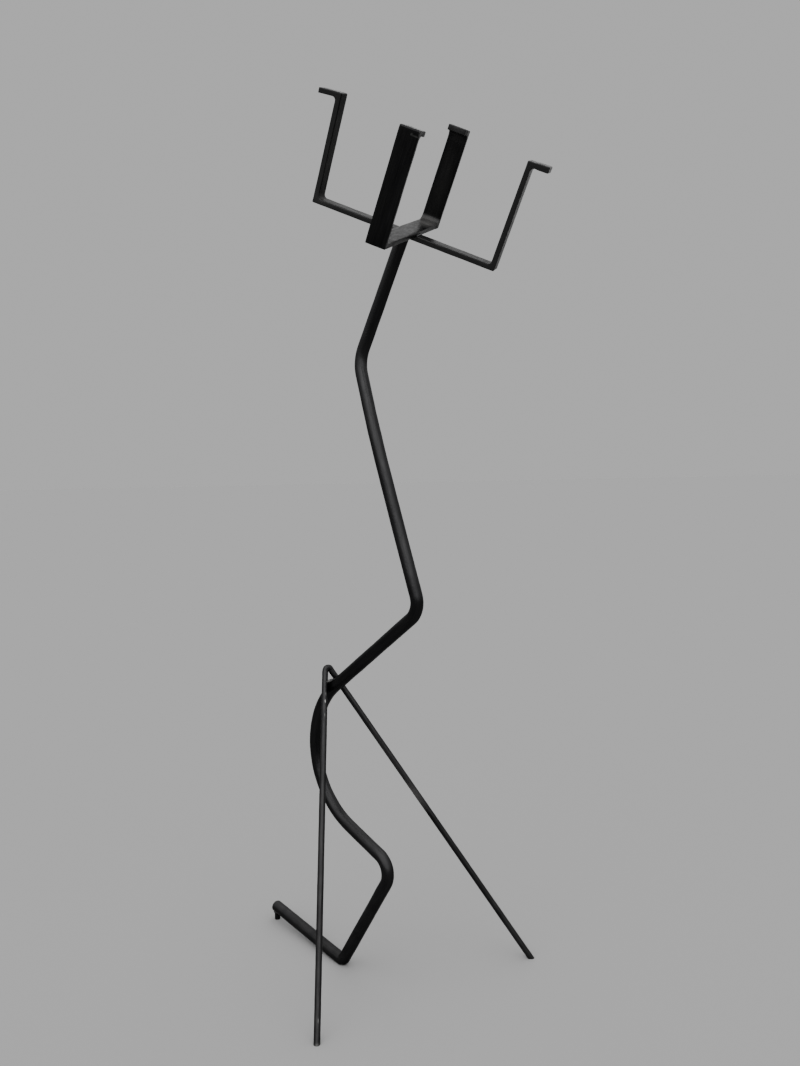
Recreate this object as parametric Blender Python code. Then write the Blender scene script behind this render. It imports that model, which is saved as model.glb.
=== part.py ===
"""Forged steel figure: one bent round bar on a hairpin of thinner bar, crowned by two crossed flat bars.

Metres, +Z up. The figure stands on the floor plane z = 0 and faces -Y. The origin is on the floor,
under the middle of the figure's bounding box.
"""
from math import acos, cos, radians, sin, tan

import bmesh
import bpy
from mathutils import Euler, Vector

# ---------------------------------------------------------------- stock
BODY_DIAMETER = 0.034       # thick round bar: neck, trunk, thigh, shin and foot in one length
LEG_DIAMETER = 0.017        # thin round bar: the hairpin prop and the peg under the toe
FLAT_WIDTH = 0.050
FLAT_THICKNESS = 0.012
JOINT_GAP = 0.0003          # clearance left between welded neighbours

# ---------------------------------------------------------------- body bar
# Corner points of the bar's axis from the floor up, each with the bend radius of the axis there.
TOE = Vector((-0.3960, 0.3576, 0.0410))
BODY_BENDS = (
    ("heel", Vector((-0.1725, 0.0750, 0.0116)), 0.0213),
    ("knee", Vector((-0.0201, -0.0664, 0.3406)), 0.0511),
    ("thigh", Vector((-0.4043, 0.3371, 0.5601)), 0.2240),
    ("hip", Vector((0.0597, -0.1392, 1.0519)), 0.0542),
    ("back_bow", Vector((-0.0465, -0.0285, 1.4913)), 1.1743),
    ("shoulder", Vector((-0.0876, 0.0658, 1.6958)), 0.0841),
)
END_CHAMFER = 0.002

# ---------------------------------------------------------------- hairpin leg
HAIRPIN_CORNER = Vector((-0.2047, 0.1301, 0.8640))   # where the two straight legs' axes would meet
HAIRPIN_BEND_RADIUS = 0.0105
FRONT_FOOT = Vector((-0.2173, -0.3023, 0.0))
SIDE_FOOT = Vector((0.3641, 0.0885, 0.0))

# ---------------------------------------------------------------- peg under the toe
PEG_TOP_REACH = 0.0045      # from the bar's cut end to the peg's axis, along the floor

# ---------------------------------------------------------------- head
HEAD_LOCATION = Vector((0.0528, 0.0217, 2.0202))
HEAD_ROTATION = Euler((radians(17.38), radians(23.04), radians(-9.57)))
NECK_LOCAL = Vector((-0.004, -(FLAT_WIDTH / 2 + BODY_DIAMETER / 2 + 0.0006), 0.0))
INNER_BEND_RADIUS = 0.010
OUTER_BEND_RADIUS = 0.003
ARRIS = 0.0012

# Front bar: runs front to back over the neck's end, tips turned inward.
FRONT_BAR_ENDS = (-0.3147, 0.2185)      # outer faces of the two uprights, along the head's Y
FRONT_BAR_HEIGHTS = (0.2704, 0.2662)    # underside of the base to the top of each tip
FRONT_BAR_LEANS = (0.0, 2.0)            # degrees each upright opens outward
FRONT_BAR_TIPS = (0.053, 0.053)         # outer face of the upright to the tip's end
FRONT_BAR_DROOPS = (-3.0, 0.0)          # degrees each tip rises from square

# Side bar: runs left to right under the front bar, behind the neck, tips turned outward.
SIDE_BAR_ENDS = (-0.2673, 0.2447)
SIDE_BAR_HEIGHTS = (0.2760, 0.2766)
SIDE_BAR_LEANS = (2.5, 0.4)
SIDE_BAR_TIPS = (0.061, 0.058)          # inner face of the upright to the tip's end
SIDE_BAR_DROOPS = (2.7, 0.0)            # degrees each tip hangs below square

BODY_SIDES = 24
LEG_SIDES = 16
ARC_STEP = radians(7.5)


def clear_scene():
    for obj in list(bpy.data.objects):
        bpy.data.objects.remove(obj, do_unlink=True)


def steel(name, base_color, roughness):
    material = bpy.data.materials.new(name)
    material.use_nodes = True
    shader = material.node_tree.nodes["Principled BSDF"]
    shader.inputs["Base Color"].default_value = (*base_color, 1.0)
    shader.inputs["Roughness"].default_value = roughness
    shader.inputs["Metallic"].default_value = 0.9
    return material


def link(name, mesh, material, smooth_angle=None):
    obj = bpy.data.objects.new(name, mesh)
    obj.data.materials.append(material)
    bpy.context.scene.collection.objects.link(obj)
    if smooth_angle is not None:
        mesh.shade_smooth()
        mesh.set_sharp_from_angle(angle=smooth_angle)
    return obj


# ---------------------------------------------------------------- round bars
def bar_axis(start, bends, end):
    """Points along a bent bar's axis: straight runs joined by arcs tangent to both."""
    corners = [start] + [point for _, point, _ in bends] + [end]
    points = [start]
    for index, (_, corner, radius) in enumerate(bends, start=1):
        arriving = (corner - corners[index - 1]).normalized()
        leaving = (corners[index + 1] - corner).normalized()
        turn = acos(arriving.dot(leaving))
        setback = radius * tan(turn / 2)
        inward = (leaving - arriving).normalized()
        centre = corner + inward * (radius / cos(turn / 2))
        spoke = (corner - arriving * setback - centre).normalized()
        steps = max(3, round(turn / ARC_STEP))
        for step in range(steps + 1):
            angle = turn * step / steps
            points.append(centre + (spoke * cos(angle) + arriving * sin(angle)) * radius)
    points.append(end)
    return points


def round_bar_mesh(name, points, diameter, sides):
    """A closed tube of the given diameter along the points."""
    curve = bpy.data.curves.new(name, "CURVE")
    curve.dimensions = "3D"
    curve.twist_mode = "MINIMUM"
    curve.bevel_depth = diameter / 2
    curve.bevel_resolution = sides // 2 - 2
    curve.use_fill_caps = True
    spline = curve.splines.new("POLY")
    spline.points.add(len(points) - 1)
    for slot, point in zip(spline.points, points):
        slot.co = (*point, 1.0)
    guide = bpy.data.objects.new(name + "_guide", curve)
    bpy.context.scene.collection.objects.link(guide)
    depsgraph = bpy.context.evaluated_depsgraph_get()
    mesh = bpy.data.meshes.new_from_object(guide.evaluated_get(depsgraph))
    bpy.data.objects.remove(guide, do_unlink=True)
    bpy.data.curves.remove(curve)
    mesh.materials.clear()
    return mesh


def cut_flat(mesh, point, outward):
    """Cut the mesh off beyond a plane and close it with one flat face."""
    bm = bmesh.new()
    bm.from_mesh(mesh)
    bmesh.ops.remove_doubles(bm, verts=bm.verts, dist=1e-6)
    geometry = bm.verts[:] + bm.edges[:] + bm.faces[:]
    cut = bmesh.ops.bisect_plane(
        bm, geom=geometry, dist=1e-7, plane_co=point, plane_no=outward, clear_outer=True)
    rim = [item for item in cut["geom_cut"] if isinstance(item, bmesh.types.BMEdge)]
    if rim:
        bmesh.ops.holes_fill(bm, edges=rim)
    bmesh.ops.recalc_face_normals(bm, faces=bm.faces)
    bm.to_mesh(mesh)
    bm.free()


def chamfer_end(mesh, centre, axis, reach):
    """Bevel the rim of the flat end face that lies at centre."""
    bm = bmesh.new()
    bm.from_mesh(mesh)
    bmesh.ops.remove_doubles(bm, verts=bm.verts, dist=1e-6)
    near = [v for v in bm.verts if abs((v.co - centre).dot(axis)) < 1e-4 and (v.co - centre).length < reach]
    rim = [e for e in bm.edges if all(v in near for v in e.verts) and len(e.link_faces) == 2]
    rim = [e for e in rim if e.calc_face_angle(0.0) > radians(60)]
    bmesh.ops.bevel(bm, geom=rim, offset=END_CHAMFER, segments=2, profile=0.5, affect="EDGES")
    bmesh.ops.recalc_face_normals(bm, faces=bm.faces)
    bm.to_mesh(mesh)
    bm.free()


def make_body_bar(material, neck_end, head_up):
    overshoot = BODY_DIAMETER
    last_bend = BODY_BENDS[-1][1]
    neck = (neck_end - last_bend).normalized()
    points = bar_axis(TOE, BODY_BENDS, neck_end + neck * overshoot)
    mesh = round_bar_mesh("body_bar", points, BODY_DIAMETER, BODY_SIDES)
    cut_flat(mesh, neck_end - head_up * JOINT_GAP, head_up)
    cut_flat(mesh, Vector((0.0, 0.0, 0.0)), Vector((0.0, 0.0, -1.0)))
    toe_axis = (TOE - BODY_BENDS[0][1]).normalized()
    chamfer_end(mesh, TOE, toe_axis, BODY_DIAMETER)
    return link("body_bar", mesh, material, radians(35))


def make_leg_bar(material):
    overshoot = LEG_DIAMETER * 2

    def past(foot):
        return foot + (foot - HAIRPIN_CORNER).normalized() * overshoot

    bends = (("crotch", HAIRPIN_CORNER, HAIRPIN_BEND_RADIUS),)
    points = bar_axis(past(FRONT_FOOT), bends, past(SIDE_FOOT))
    mesh = round_bar_mesh("leg_bar", points, LEG_DIAMETER, LEG_SIDES)
    cut_flat(mesh, Vector((0.0, 0.0, 0.0)), Vector((0.0, 0.0, -1.0)))
    return link("leg_bar", mesh, material, radians(35))


def make_toe_peg(material):
    """A short peg from the floor to the underside of the toe, its top coped to the round bar."""
    heel = BODY_BENDS[0][1]
    along = (heel - TOE).normalized()
    flat_along = Vector((along.x, along.y, 0.0)).normalized()
    foot = Vector((TOE.x, TOE.y, 0.0)) + flat_along * PEG_TOP_REACH
    height = TOE.z
    radius = LEG_DIAMETER / 2
    mesh = bpy.data.meshes.new("toe_peg")
    bm = bmesh.new()
    bmesh.ops.create_cone(bm, cap_ends=True, segments=LEG_SIDES, radius1=radius, radius2=radius, depth=height)
    bmesh.ops.translate(bm, verts=bm.verts, vec=(0.0, 0.0, height / 2))
    bm.to_mesh(mesh)
    bm.free()
    peg = link("toe_peg", mesh, material, radians(35))
    peg.location = foot

    saddle = bpy.data.meshes.new("toe_saddle")
    bm = bmesh.new()
    saddle_radius = BODY_DIAMETER / 2 + 2 * JOINT_GAP
    bmesh.ops.create_cone(
        bm, cap_ends=True, segments=BODY_SIDES * 2, radius1=saddle_radius, radius2=saddle_radius, depth=0.2)
    bm.to_mesh(saddle)
    bm.free()
    cutter = bpy.data.objects.new("toe_saddle", saddle)
    bpy.context.scene.collection.objects.link(cutter)
    cutter.location = TOE
    cutter.rotation_euler = along.to_track_quat("Z", "Y").to_euler()
    cutter.hide_render = True
    cutter.display_type = "WIRE"
    cope = peg.modifiers.new("cope", "BOOLEAN")
    cope.object = cutter
    cope.operation = "DIFFERENCE"
    cope.solver = "EXACT"
    return peg


# ---------------------------------------------------------------- flat bars
def upright_side(side, end, height, lean, tip_reach, tip_turn, droop):
    """Mid-line of one half of a flat bar, as (across, up) points: base corner, top corner, tip end."""
    half = FLAT_THICKNESS / 2
    lean = radians(lean)
    corner = Vector((end - side * half, half))
    top = corner + Vector((side * sin(lean), cos(lean))) * (height - FLAT_THICKNESS)
    pitch = lean + radians(droop)
    outward = Vector((side * cos(pitch), -sin(pitch)))
    return [corner, top, top + outward * tip_turn * (tip_reach - half)]


def fillet(before, corner, after, radius, steps):
    """Arc of the given radius, tangent to both edges at a corner of a flat outline."""
    arriving = (corner - before).normalized()
    leaving = (after - corner).normalized()
    turn = acos(max(-1.0, min(1.0, arriving.dot(leaving))))
    centre = corner + (leaving - arriving).normalized() * (radius / cos(turn / 2))
    spoke = (corner - arriving * radius * tan(turn / 2) - centre).normalized()
    angles = [turn * step / steps for step in range(steps + 1)]
    return [centre + (spoke * cos(angle) + arriving * sin(angle)) * radius for angle in angles]


def flat_outline(mid_line, thickness):
    """Closed edge-on outline of a bent flat bar: tight inner bends, nearly square outer corners."""
    sides = []
    for sign in (1, -1):
        offsets = []
        for index, point in enumerate(mid_line):
            before = mid_line[max(index - 1, 0)]
            after = mid_line[min(index + 1, len(mid_line) - 1)]
            into = (point - before).normalized() if index else (after - point).normalized()
            out = (after - point).normalized() if index < len(mid_line) - 1 else into
            left = Vector((-into.y, into.x)) + Vector((-out.y, out.x))
            mitre = left.normalized() / max(cos(into.angle(out) / 2), 0.2)
            offsets.append(point + mitre * sign * thickness / 2)
        line = [offsets[0]]
        for index in range(1, len(offsets) - 1):
            into = mid_line[index] - mid_line[index - 1]
            out = mid_line[index + 1] - mid_line[index]
            turning_left = into.x * out.y - into.y * out.x > 0
            inner = turning_left == (sign > 0)
            radius = INNER_BEND_RADIUS if inner else OUTER_BEND_RADIUS
            steps = 5 if inner else 2
            line += fillet(offsets[index - 1], offsets[index], offsets[index + 1], radius, steps)
        line.append(offsets[-1])
        sides.append(line)
    return sides[0] + sides[1][::-1]


def flat_bar(name, halves, base_lift, across_axis, material, head):
    """Extrude a bent flat bar's outline over the bar's width, in the head's own axes."""
    mid_line = halves[0][::-1] + halves[1]
    outline = flat_outline(mid_line, FLAT_THICKNESS)
    width_axis = Vector((0, 0, 1)).cross(across_axis)
    mesh = bpy.data.meshes.new(name)
    bm = bmesh.new()
    rim = []
    for across, up in outline:
        place = across_axis * across + Vector((0, 0, up + base_lift)) - width_axis * FLAT_WIDTH / 2
        rim.append(bm.verts.new(place))
    face = bm.faces.new(rim)
    grown = bmesh.ops.extrude_face_region(bm, geom=[face])
    moved = [item for item in grown["geom"] if isinstance(item, bmesh.types.BMVert)]
    bmesh.ops.translate(bm, verts=moved, vec=width_axis * FLAT_WIDTH)
    bmesh.ops.recalc_face_normals(bm, faces=bm.faces)
    bm.to_mesh(mesh)
    bm.free()
    bar = link(name, mesh, material)
    bar.parent = head
    arris = bar.modifiers.new("arris", "BEVEL")
    arris.width = ARRIS
    arris.segments = 2
    arris.limit_method = "ANGLE"
    arris.angle_limit = radians(50)
    return bar


def make_head(material_front, material_side):
    head = bpy.data.objects.new("head", None)
    head.location = HEAD_LOCATION
    head.rotation_euler = HEAD_ROTATION
    bpy.context.scene.collection.objects.link(head)

    front_halves = [
        upright_side(side, end, height, lean, tip, -1, droop)
        for side, end, height, lean, tip, droop in zip(
            (-1, 1), FRONT_BAR_ENDS, FRONT_BAR_HEIGHTS, FRONT_BAR_LEANS, FRONT_BAR_TIPS, FRONT_BAR_DROOPS)
    ]
    flat_bar("head_front_bar", front_halves, 0.0, Vector((0, 1, 0)), material_front, head)

    side_halves = [
        upright_side(side, end, height, lean, tip, 1, droop)
        for side, end, height, lean, tip, droop in zip(
            (-1, 1), SIDE_BAR_ENDS, SIDE_BAR_HEIGHTS, SIDE_BAR_LEANS, SIDE_BAR_TIPS, SIDE_BAR_DROOPS)
    ]
    base_lift = -FLAT_THICKNESS - JOINT_GAP
    flat_bar("head_side_bar", side_halves, base_lift, Vector((1, 0, 0)), material_side, head)
    return head


def main():
    clear_scene()
    round_steel = steel("blackened_round_bar", (0.020, 0.020, 0.021), 0.42)
    thin_steel = steel("blackened_thin_bar", (0.026, 0.026, 0.027), 0.38)
    flat_steel = steel("blackened_flat_bar", (0.016, 0.016, 0.017), 0.45)
    side_steel = steel("blackened_side_bar", (0.018, 0.018, 0.019), 0.45)
    peg_steel = steel("blackened_peg", (0.022, 0.022, 0.023), 0.45)

    make_head(flat_steel, side_steel)
    head_axes = HEAD_ROTATION.to_matrix()
    neck_end = HEAD_LOCATION + head_axes @ NECK_LOCAL
    make_body_bar(round_steel, neck_end, head_axes @ Vector((0, 0, 1)))
    make_leg_bar(thin_steel)
    make_toe_peg(peg_steel)


main()
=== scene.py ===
from math import atan2, acos, cos, pi, radians, sin, tan

import bpy
import numpy as np
from mathutils import Euler, Matrix, Vector


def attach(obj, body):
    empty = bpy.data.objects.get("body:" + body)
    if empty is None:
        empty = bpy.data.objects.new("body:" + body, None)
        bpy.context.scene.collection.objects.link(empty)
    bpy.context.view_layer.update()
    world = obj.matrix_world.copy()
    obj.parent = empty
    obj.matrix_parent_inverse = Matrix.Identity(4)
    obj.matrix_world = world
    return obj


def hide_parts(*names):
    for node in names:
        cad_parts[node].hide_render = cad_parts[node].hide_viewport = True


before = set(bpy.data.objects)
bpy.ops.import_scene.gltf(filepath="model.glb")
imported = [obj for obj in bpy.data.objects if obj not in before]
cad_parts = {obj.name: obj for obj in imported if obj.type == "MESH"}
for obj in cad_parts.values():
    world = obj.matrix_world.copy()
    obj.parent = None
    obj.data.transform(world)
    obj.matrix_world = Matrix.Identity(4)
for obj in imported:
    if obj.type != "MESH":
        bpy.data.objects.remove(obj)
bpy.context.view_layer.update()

# Metres, +Z up, the figure faces -Y. Sizes and places follow those of the plain bars in the frame.

# ------------------------------------------------------------------ sizes: round bars and peg
BODY_DIAMETER = 0.034
LEG_DIAMETER = 0.017
JOINT_GAP = 0.0003

TOE = Vector((-0.3960, 0.3576, 0.0410))
BODY_BENDS = (              # corners of the bar's middle line, each with the radius of its bend
    (Vector((-0.1725, 0.0750, 0.0116)), 0.0213),     # heel
    (Vector((-0.0201, -0.0664, 0.3406)), 0.0511),    # knee
    (Vector((-0.4043, 0.3371, 0.5601)), 0.2240),     # thigh
    (Vector((0.0597, -0.1392, 1.0519)), 0.0542),     # hip
    (Vector((-0.0465, -0.0285, 1.4913)), 1.1743),    # long bow of the back
    (Vector((-0.0876, 0.0658, 1.6958)), 0.0841),     # shoulder
)
TOE_ROUNDING = 0.0025
TOE_END_REACH = 0.004       # a face of the toe's sawn end has its middle this near the end's
HAIRPIN_CORNER = Vector((-0.2047, 0.1301, 0.8640))
HAIRPIN_BEND_RADIUS = 0.0105
FRONT_FOOT = Vector((-0.2173, -0.3023, 0.0))
SIDE_FOOT = Vector((0.3641, 0.0885, 0.0))
CROWN_DEPTH = 0.0125        # the hairpin's crown is drawn up from this far below its corner
CROWN_LIFT = 0.0028
CROWN_SOFTNESS = 0.012
CROWN_UPWARD = 0.3          # points there move where their normal looks up more than this

PEG_TOP_REACH = 0.0045      # from the toe's end to the peg's middle, towards the heel
PEG_TOP_DEPTH = 0.008       # from the toe's middle down to the peg's top, before it is coped
PEG_ROUNDING = 0.0012
PEG_CLEARANCE = 0.0002

# ------------------------------------------------------------------ sizes: flat bars
FLAT_WIDTH = 0.050
FLAT_THICKNESS = 0.012
HEAD_LOCATION = Vector((0.0528, 0.0217, 2.0202))
HEAD_ROTATION = Euler((radians(17.38), radians(23.04), radians(-9.57)))
HEAD = Matrix.Translation(HEAD_LOCATION) @ HEAD_ROTATION.to_matrix().to_4x4()
NECK_END = HEAD @ Vector((-0.004, -(FLAT_WIDTH / 2 + BODY_DIAMETER / 2 + 0.0006), 0.0))
HEAD_UP = HEAD_ROTATION.to_matrix() @ Vector((0, 0, 1))

# A flat bar lies along X until its head is turned. Pairs are its low half, then its high half: the
# outer face of the upright, its height and outward lean in degrees, the tip's reach and droop in
# degrees, and the radius inside the bends. The tips turn outward where turn is 1. lift is the
# height of the base's underside, and on the high half upset thickens the tip by hammer blows on
# its end and spread widens the upright.
FRONT_BAR = {
    "ends": (-0.3146, 0.2185), "heights": (0.2704, 0.2662), "leans": (0.0, 2.0),
    "tips": (0.053, 0.053), "droops": (-3.0, 0.0), "turn": -1, "lift": 0.0,
    "thickness": 0.0122, "inner": (0.015, 0.0175), "outer": 0.004, "spread": 1.045,
    "upset": 1.22}
SIDE_BAR = {
    "ends": (-0.2678, 0.2447), "heights": (0.2743, 0.2782), "leans": (2.5, 0.4),
    "tips": (0.061, 0.057), "droops": (2.7, -1.2), "turn": 1,
    "lift": 0.0017 - FLAT_THICKNESS - JOINT_GAP,
    "thickness": 0.0132, "inner": (0.010, 0.010), "outer": 0.003, "spread": 1.0,
    "upset": 1.18}
ARRIS = 0.0016
ARRIS_ANGLE = radians(40)   # edges sharper than this are arrises
SAME_PLANE = radians(0.2)   # faces that turn less than this are one face
CORNER_REACH = 0.004        # an edge no further than this from a corner belongs to it
UPSET_START = 0.012         # from the upright's face to where a tip begins to thicken
UPSET_SOFTNESS = 0.014
SPREAD_START = 0.001        # short of the foot's bend, where an upright begins to widen

# ------------------------------------------------------------------ fineness of the meshes
BODY_SIDES, BODY_PACE = 56, 0.008
LEG_SIDES, LEG_PACE = 36, 0.006
BEND_STEP = radians(6)
PEG_SIDES, PEG_CUTS, SADDLE_SIDES, SADDLE_LENGTH = 40, 10, 96, 0.2
RIM_SEGMENTS, INNER_SEGMENTS, OUTER_SEGMENTS = 3, 9, 4
CUT_PACE = 0.008            # between the cuts that give a flat bar its points
CUTS_PAST_ENDS = 0.06
CUTS_UP = (0.02, 0.28)      # the first and the limit, above the base's underside
CUTS_ACROSS = tuple(np.arange(-0.018, 0.019, 0.009))
MERGE_DISTANCE = 0.00003
NO_LENGTH = 1e-6
ROUND_SMOOTHING, FLAT_SMOOTHING = 40, 30        # degrees, sharper edges stay crisp
# A face looks a way when its normal points there by at least this share of its length.
SQUARE_ON, FACES_THAT_WAY, SAWN_OR_GROUND = 0.999, 0.9, 0.85

# Waviness that heat and hammer leave: a name, the size of the swells and their height.
BODY_WAVES = (("hammer_wave", 0.055, 0.0011), ("scale_lumps", 0.012, 0.00035))
LEG_WAVES = (("leg_wave", 0.040, 0.0006), ("leg_lumps", 0.009, 0.00022))
FLAT_WAVES = (("wave", 0.060, 0.0008), ("lumps", 0.012, 0.00025))
SPATTER_SIZE, SPATTER_SHARE = 0.006, 0.30       # the share is of a bead's radius

# ------------------------------------------------------------------ sizes: weld beads
BEAD_SIDES, BEAD_RINGS = 12, 6
BEAD_FLATNESS = 0.62
BEAD_TILT = radians(14)
BEAD_PACE, HAIRPIN_PACE, PEG_PACE = 0.0024, 0.0026, 0.0020
SIDE_LEG_BEAD, SIDE_LEG_RING = 0.0042, 0.0090
HAIRPIN_BEADS = (           # a name, both ends and the bead's radius
    ("hairpin_weld",
     Vector((-0.2025, 0.1030, 0.8120)), Vector((-0.1838, 0.1040, 0.8170)), 0.0058),
    ("hairpin_root_weld",
     Vector((-0.1985, 0.1130, 0.8030)), Vector((-0.1880, 0.1130, 0.8080)), 0.0056),
)
NECK_BEAD, NECK_BEAD_OUT, NECK_BEAD_DOWN = 0.0030, 0.0008, 0.0016
CROSSING_BEAD, CROSSING_RISE = 0.0030, 0.0030
UNDER_BEAD, UNDER_RISE = 0.0026, -0.0004
EDGE_BEAD_OUT, EDGE_BEAD_STOP = 0.0008, 0.003   # off the edge welded, and short of its two ends
PEG_BEAD, PEG_BEAD_OUT, PEG_BEAD_DOWN = 0.0024, 0.0006, 0.0005

# ------------------------------------------------------------------ finishes
# Each black has the colours of thick scale, thin scale and rubbed metal.
RUBBED = (0.080, 0.079, 0.078)
BODY_BLACK = ((0.0105, 0.0105, 0.0110), (0.0200, 0.0200, 0.0205), RUBBED)
LEG_BLACK = ((0.0095, 0.0095, 0.0100), (0.0190, 0.0190, 0.0195), (0.090, 0.088, 0.086))
FLAT_BLACK = ((0.0070, 0.0070, 0.0073), (0.0135, 0.0135, 0.0138), RUBBED)
WELD_BLACK = ((0.012, 0.012, 0.013), (0.040, 0.040, 0.041), (0.14, 0.14, 0.14))
BARE = (0.040, 0.040, 0.040)
PALE_FILM_COLOUR = (0.045, 0.044, 0.043)
METALLIC = 0.97             # where no pale film lies
PIT_DEPTH = 0.0006
PATCH_COVER, PATCH_BLUE = 0.9, 0.97

# A patch has its centre, turn and half sizes, then its brightness or the strength of its pale film.
# Some patches are real scuffs and wear, some painted highlight, painted shade or painted light, as
# marked.
# The turns lay patches roughly along the legs: so far sideways for so far up.
FRONT_LEG_TURN = (atan2(0.2982, 0.8640), 0.0, 0.0)
SIDE_LEG_TURN = (0.0, -atan2(0.5688, 0.8640), 0.0)
# Marks on the legs: painted highlights, real scuffs and wear, and painted shade, as marked.
LEG_SCUFFS_AND_PAINTED_LIGHT = (
    # bright marks on the front leg by the hairpin: painted highlights along its highlight line, the
    # first also over a real scuff
    ((-0.2034, 0.0730, 0.7665), FRONT_LEG_TURN, (0.0018, 0.006, 0.0075), 0.26),
    ((-0.2020, 0.0820, 0.7850), FRONT_LEG_TURN, (0.0014, 0.006, 0.0110), 0.08),
    ((-0.2045, 0.0554, 0.7320), FRONT_LEG_TURN, (0.0013, 0.006, 0.0200), 0.07),
    # a scratch and the worn corner of the front foot
    ((-0.2139, -0.2857, 0.0505), FRONT_LEG_TURN, (0.0016, 0.006, 0.0120), 0.11),
    ((-0.2150, -0.3080, 0.0020), FRONT_LEG_TURN, (0.0120, 0.010, 0.005), 0.050),
    ((-0.1640, 0.1270, 0.8020), SIDE_LEG_TURN, (0.014, 0.020, 0.050), 0.010),    # painted shade below the weld, where the body shades the leg
)
# Patches of pale matte film that lighten the middle of the side leg.
LEG_PALE_FILM = (
    ((-0.0180, 0.1120, 0.5650), SIDE_LEG_TURN, (0.016, 0.022, 0.260), 0.32),
    ((0.0420, 0.1060, 0.4760), SIDE_LEG_TURN, (0.020, 0.026, 0.070), 0.70),
)
# Painted light: a paler patch over the hairpin welds, lifting the shade where the body hides them.
BEAD_PAINTED_LIGHT = (((-0.1990, 0.0990, 0.8150), (0.0, 0.0, 0.0), (0.018, 0.014, 0.018), 0.070),)


def on_head(*patches):
    """Put patches given in the head's own axes where the head is, turned as it is."""
    return tuple(
        (tuple(HEAD @ Vector(centre)), tuple(HEAD_ROTATION), reach, amount)
        for centre, reach, amount in patches)


# Light marks on the front upright under its tip, and painted light on the back upright.
FRONT_MARKS_AND_PAINTED_LIGHT = on_head(
    ((0.0170, -0.3147, 0.2560), (0.013, 0.003, 0.0026), 0.050),
    ((0.0075, -0.3147, 0.2580), (0.0035, 0.003, 0.0045), 0.050),
    ((0.0250, -0.3100, 0.2640), (0.004, 0.012, 0.0100), 0.060),
    # painted light: a paler patch that lifts the darker inner face of the back upright, which faces
    # the front upright
    ((0.0, 0.2063, 0.1500), (0.035, 0.010, 0.180), 0.018))
FRONT_PALE_FILM_AND_PAINTED_LIGHT = on_head(
    # a pale film on the base by the back upright
    ((0.0, 0.1700, 0.0125), (0.055, 0.115, 0.018), 0.58),
    # painted light: pale film under the back upright's tip, lifting the shade beneath it
    ((0.004, 0.1950, 0.2470), (0.045, 0.032, 0.034), 0.50))
# A lighter tone over the side bar's left upright, and a pale film in its left inner bend.
SIDE_LIGHTER_UPRIGHT = on_head(((-0.2570, 0.0, 0.1350), (0.016, 0.045, 0.150), 0.019))
SIDE_PALE_FILM = on_head(((-0.2400, 0.0, 0.0040), (0.055, 0.045, 0.030), 0.42))

# ------------------------------------------------------------------ floor, light and camera
PAPER, FRONT_LIGHT, SIDE_LIGHT, TOP_LIGHT, BACK_LIGHT = 0.49, 2.5, 1.1, 1.4, 0.35
LIGHT_CENTRE = Vector((-0.04, -0.86, 0.48)).normalized()
BACK_CENTRE = Vector((0.30, 0.78, 0.55)).normalized()
FLOOR_SIZE, FLOOR_GREY = 60, 0.1708
CAMERA_PLACE = (0.0130, -2.6449, 1.4932)
CAMERA_TURN = Matrix((
    (0.99981, 0.019496, 0.0),
    (-0.001872, 0.096018, -0.995378),
    (-0.019406, 0.995189, 0.096036),
)).to_euler()
LENS, SENSOR_WIDTH = 45, 36


# ------------------------------------------------------------------ hands on the mesh
def let_go():
    if bpy.context.object and bpy.context.object.mode != "OBJECT":
        bpy.ops.object.mode_set(mode="OBJECT")
    bpy.ops.object.select_all(action="DESELECT")


def hold(piece):
    """Select a piece alone and make it the active one."""
    let_go()
    bpy.context.view_layer.objects.active = piece
    piece.select_set(True)


def take(piece):
    """Open a piece in edit mode with nothing selected."""
    hold(piece)
    bpy.ops.object.mode_set(mode="EDIT")
    bpy.ops.mesh.select_mode(type="VERT")
    bpy.ops.mesh.select_all(action="DESELECT")


def mark(piece, kind, test):
    """Select the points, edges or faces that pass the test. It is given a point's place and
    normal, an edge's middle and its run, or a face's middle and normal."""
    bpy.ops.mesh.select_all(action="DESELECT")
    bpy.ops.mesh.select_mode(type=kind)
    bpy.ops.object.mode_set(mode="OBJECT")
    mesh = piece.data
    if kind == "FACE":
        for face in mesh.polygons:
            face.select = test(face.center, face.normal)
    elif kind == "EDGE":
        for edge in mesh.edges:
            a, b = (mesh.vertices[i].co for i in edge.vertices)
            edge.select = test((a + b) / 2, b - a)
    else:
        for vertex in mesh.vertices:
            vertex.select = test(vertex.co, vertex.normal)
    bpy.ops.object.mode_set(mode="EDIT")


def settle(piece):
    """Leave the object at the origin, unturned and unscaled, with its place in its mesh."""
    hold(piece)
    bpy.ops.object.transform_apply(location=True, rotation=True, scale=True)


def apply_all(piece):
    hold(piece)
    for name in [modifier.name for modifier in piece.modifiers]:
        bpy.ops.object.modifier_apply(modifier=name)


def extrude(move):
    bpy.ops.mesh.extrude_region_move(TRANSFORM_OT_translate={"value": move})


def cut(point, normal, **choices):
    bpy.ops.mesh.select_all(action="SELECT")
    bpy.ops.mesh.bisect(plane_co=point, plane_no=normal, **choices)


def cut_off(piece, point, outward):
    """Saw the piece off square at a plane and close it."""
    take(piece)
    cut(point, outward, use_fill=True, clear_outer=True)
    let_go()


def round_edges(radius, segments):
    bpy.ops.mesh.bevel(offset=radius, segments=segments, profile=0.5, affect="EDGES")


def round_rim(piece, radius, test):
    """Round the rim of the faces that pass the test."""
    take(piece)
    mark(piece, "FACE", test)
    bpy.ops.mesh.region_to_loop()
    round_edges(radius, RIM_SEGMENTS)
    let_go()


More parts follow.
